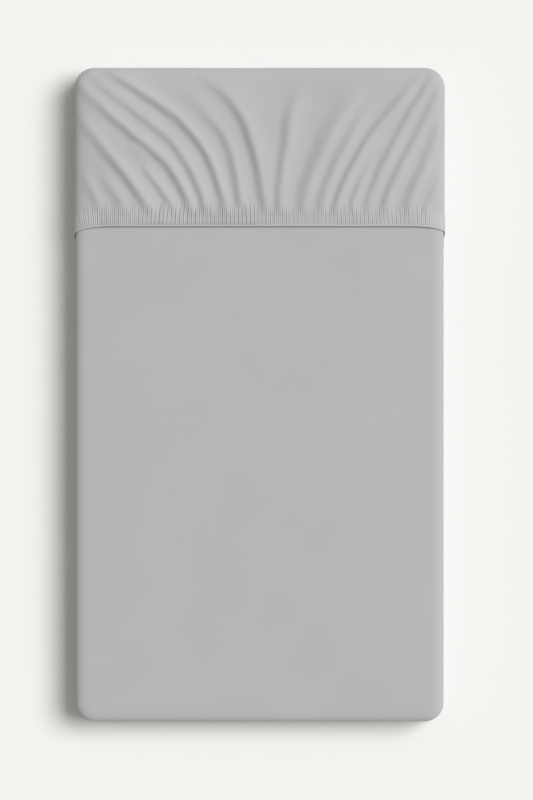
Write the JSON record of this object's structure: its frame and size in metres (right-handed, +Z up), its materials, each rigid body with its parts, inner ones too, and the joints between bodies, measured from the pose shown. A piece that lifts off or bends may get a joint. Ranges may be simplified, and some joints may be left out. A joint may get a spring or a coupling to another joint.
{
  "type": "fitted sheet on mattress",
  "caption": "Small rounded mattress in a plain grey fitted sheet; the elastic hem gathers the cloth into a pocket with soft folds over the head end.",
  "frame": {"origin": "middle of the underside of the dressed mattress, on the surface it lies on", "axes": "+Z up out of the face that shows the hem, +Y towards the head end that the sheet's pocket covers, +X across the mattress"},
  "size_m": [0.5038, 0.8894, 0.0636],
  "materials": {
    "grey_jersey": "matt, fine knitted cotton jersey",
    "grey_mattress_cover": "matt, smooth stretch-knit cover over foam"
  },
  "bodies": {
    "root": {"fitted_sheet": "grey_jersey", "mattress": "grey_mattress_cover"}
  },
  "joints": []
}
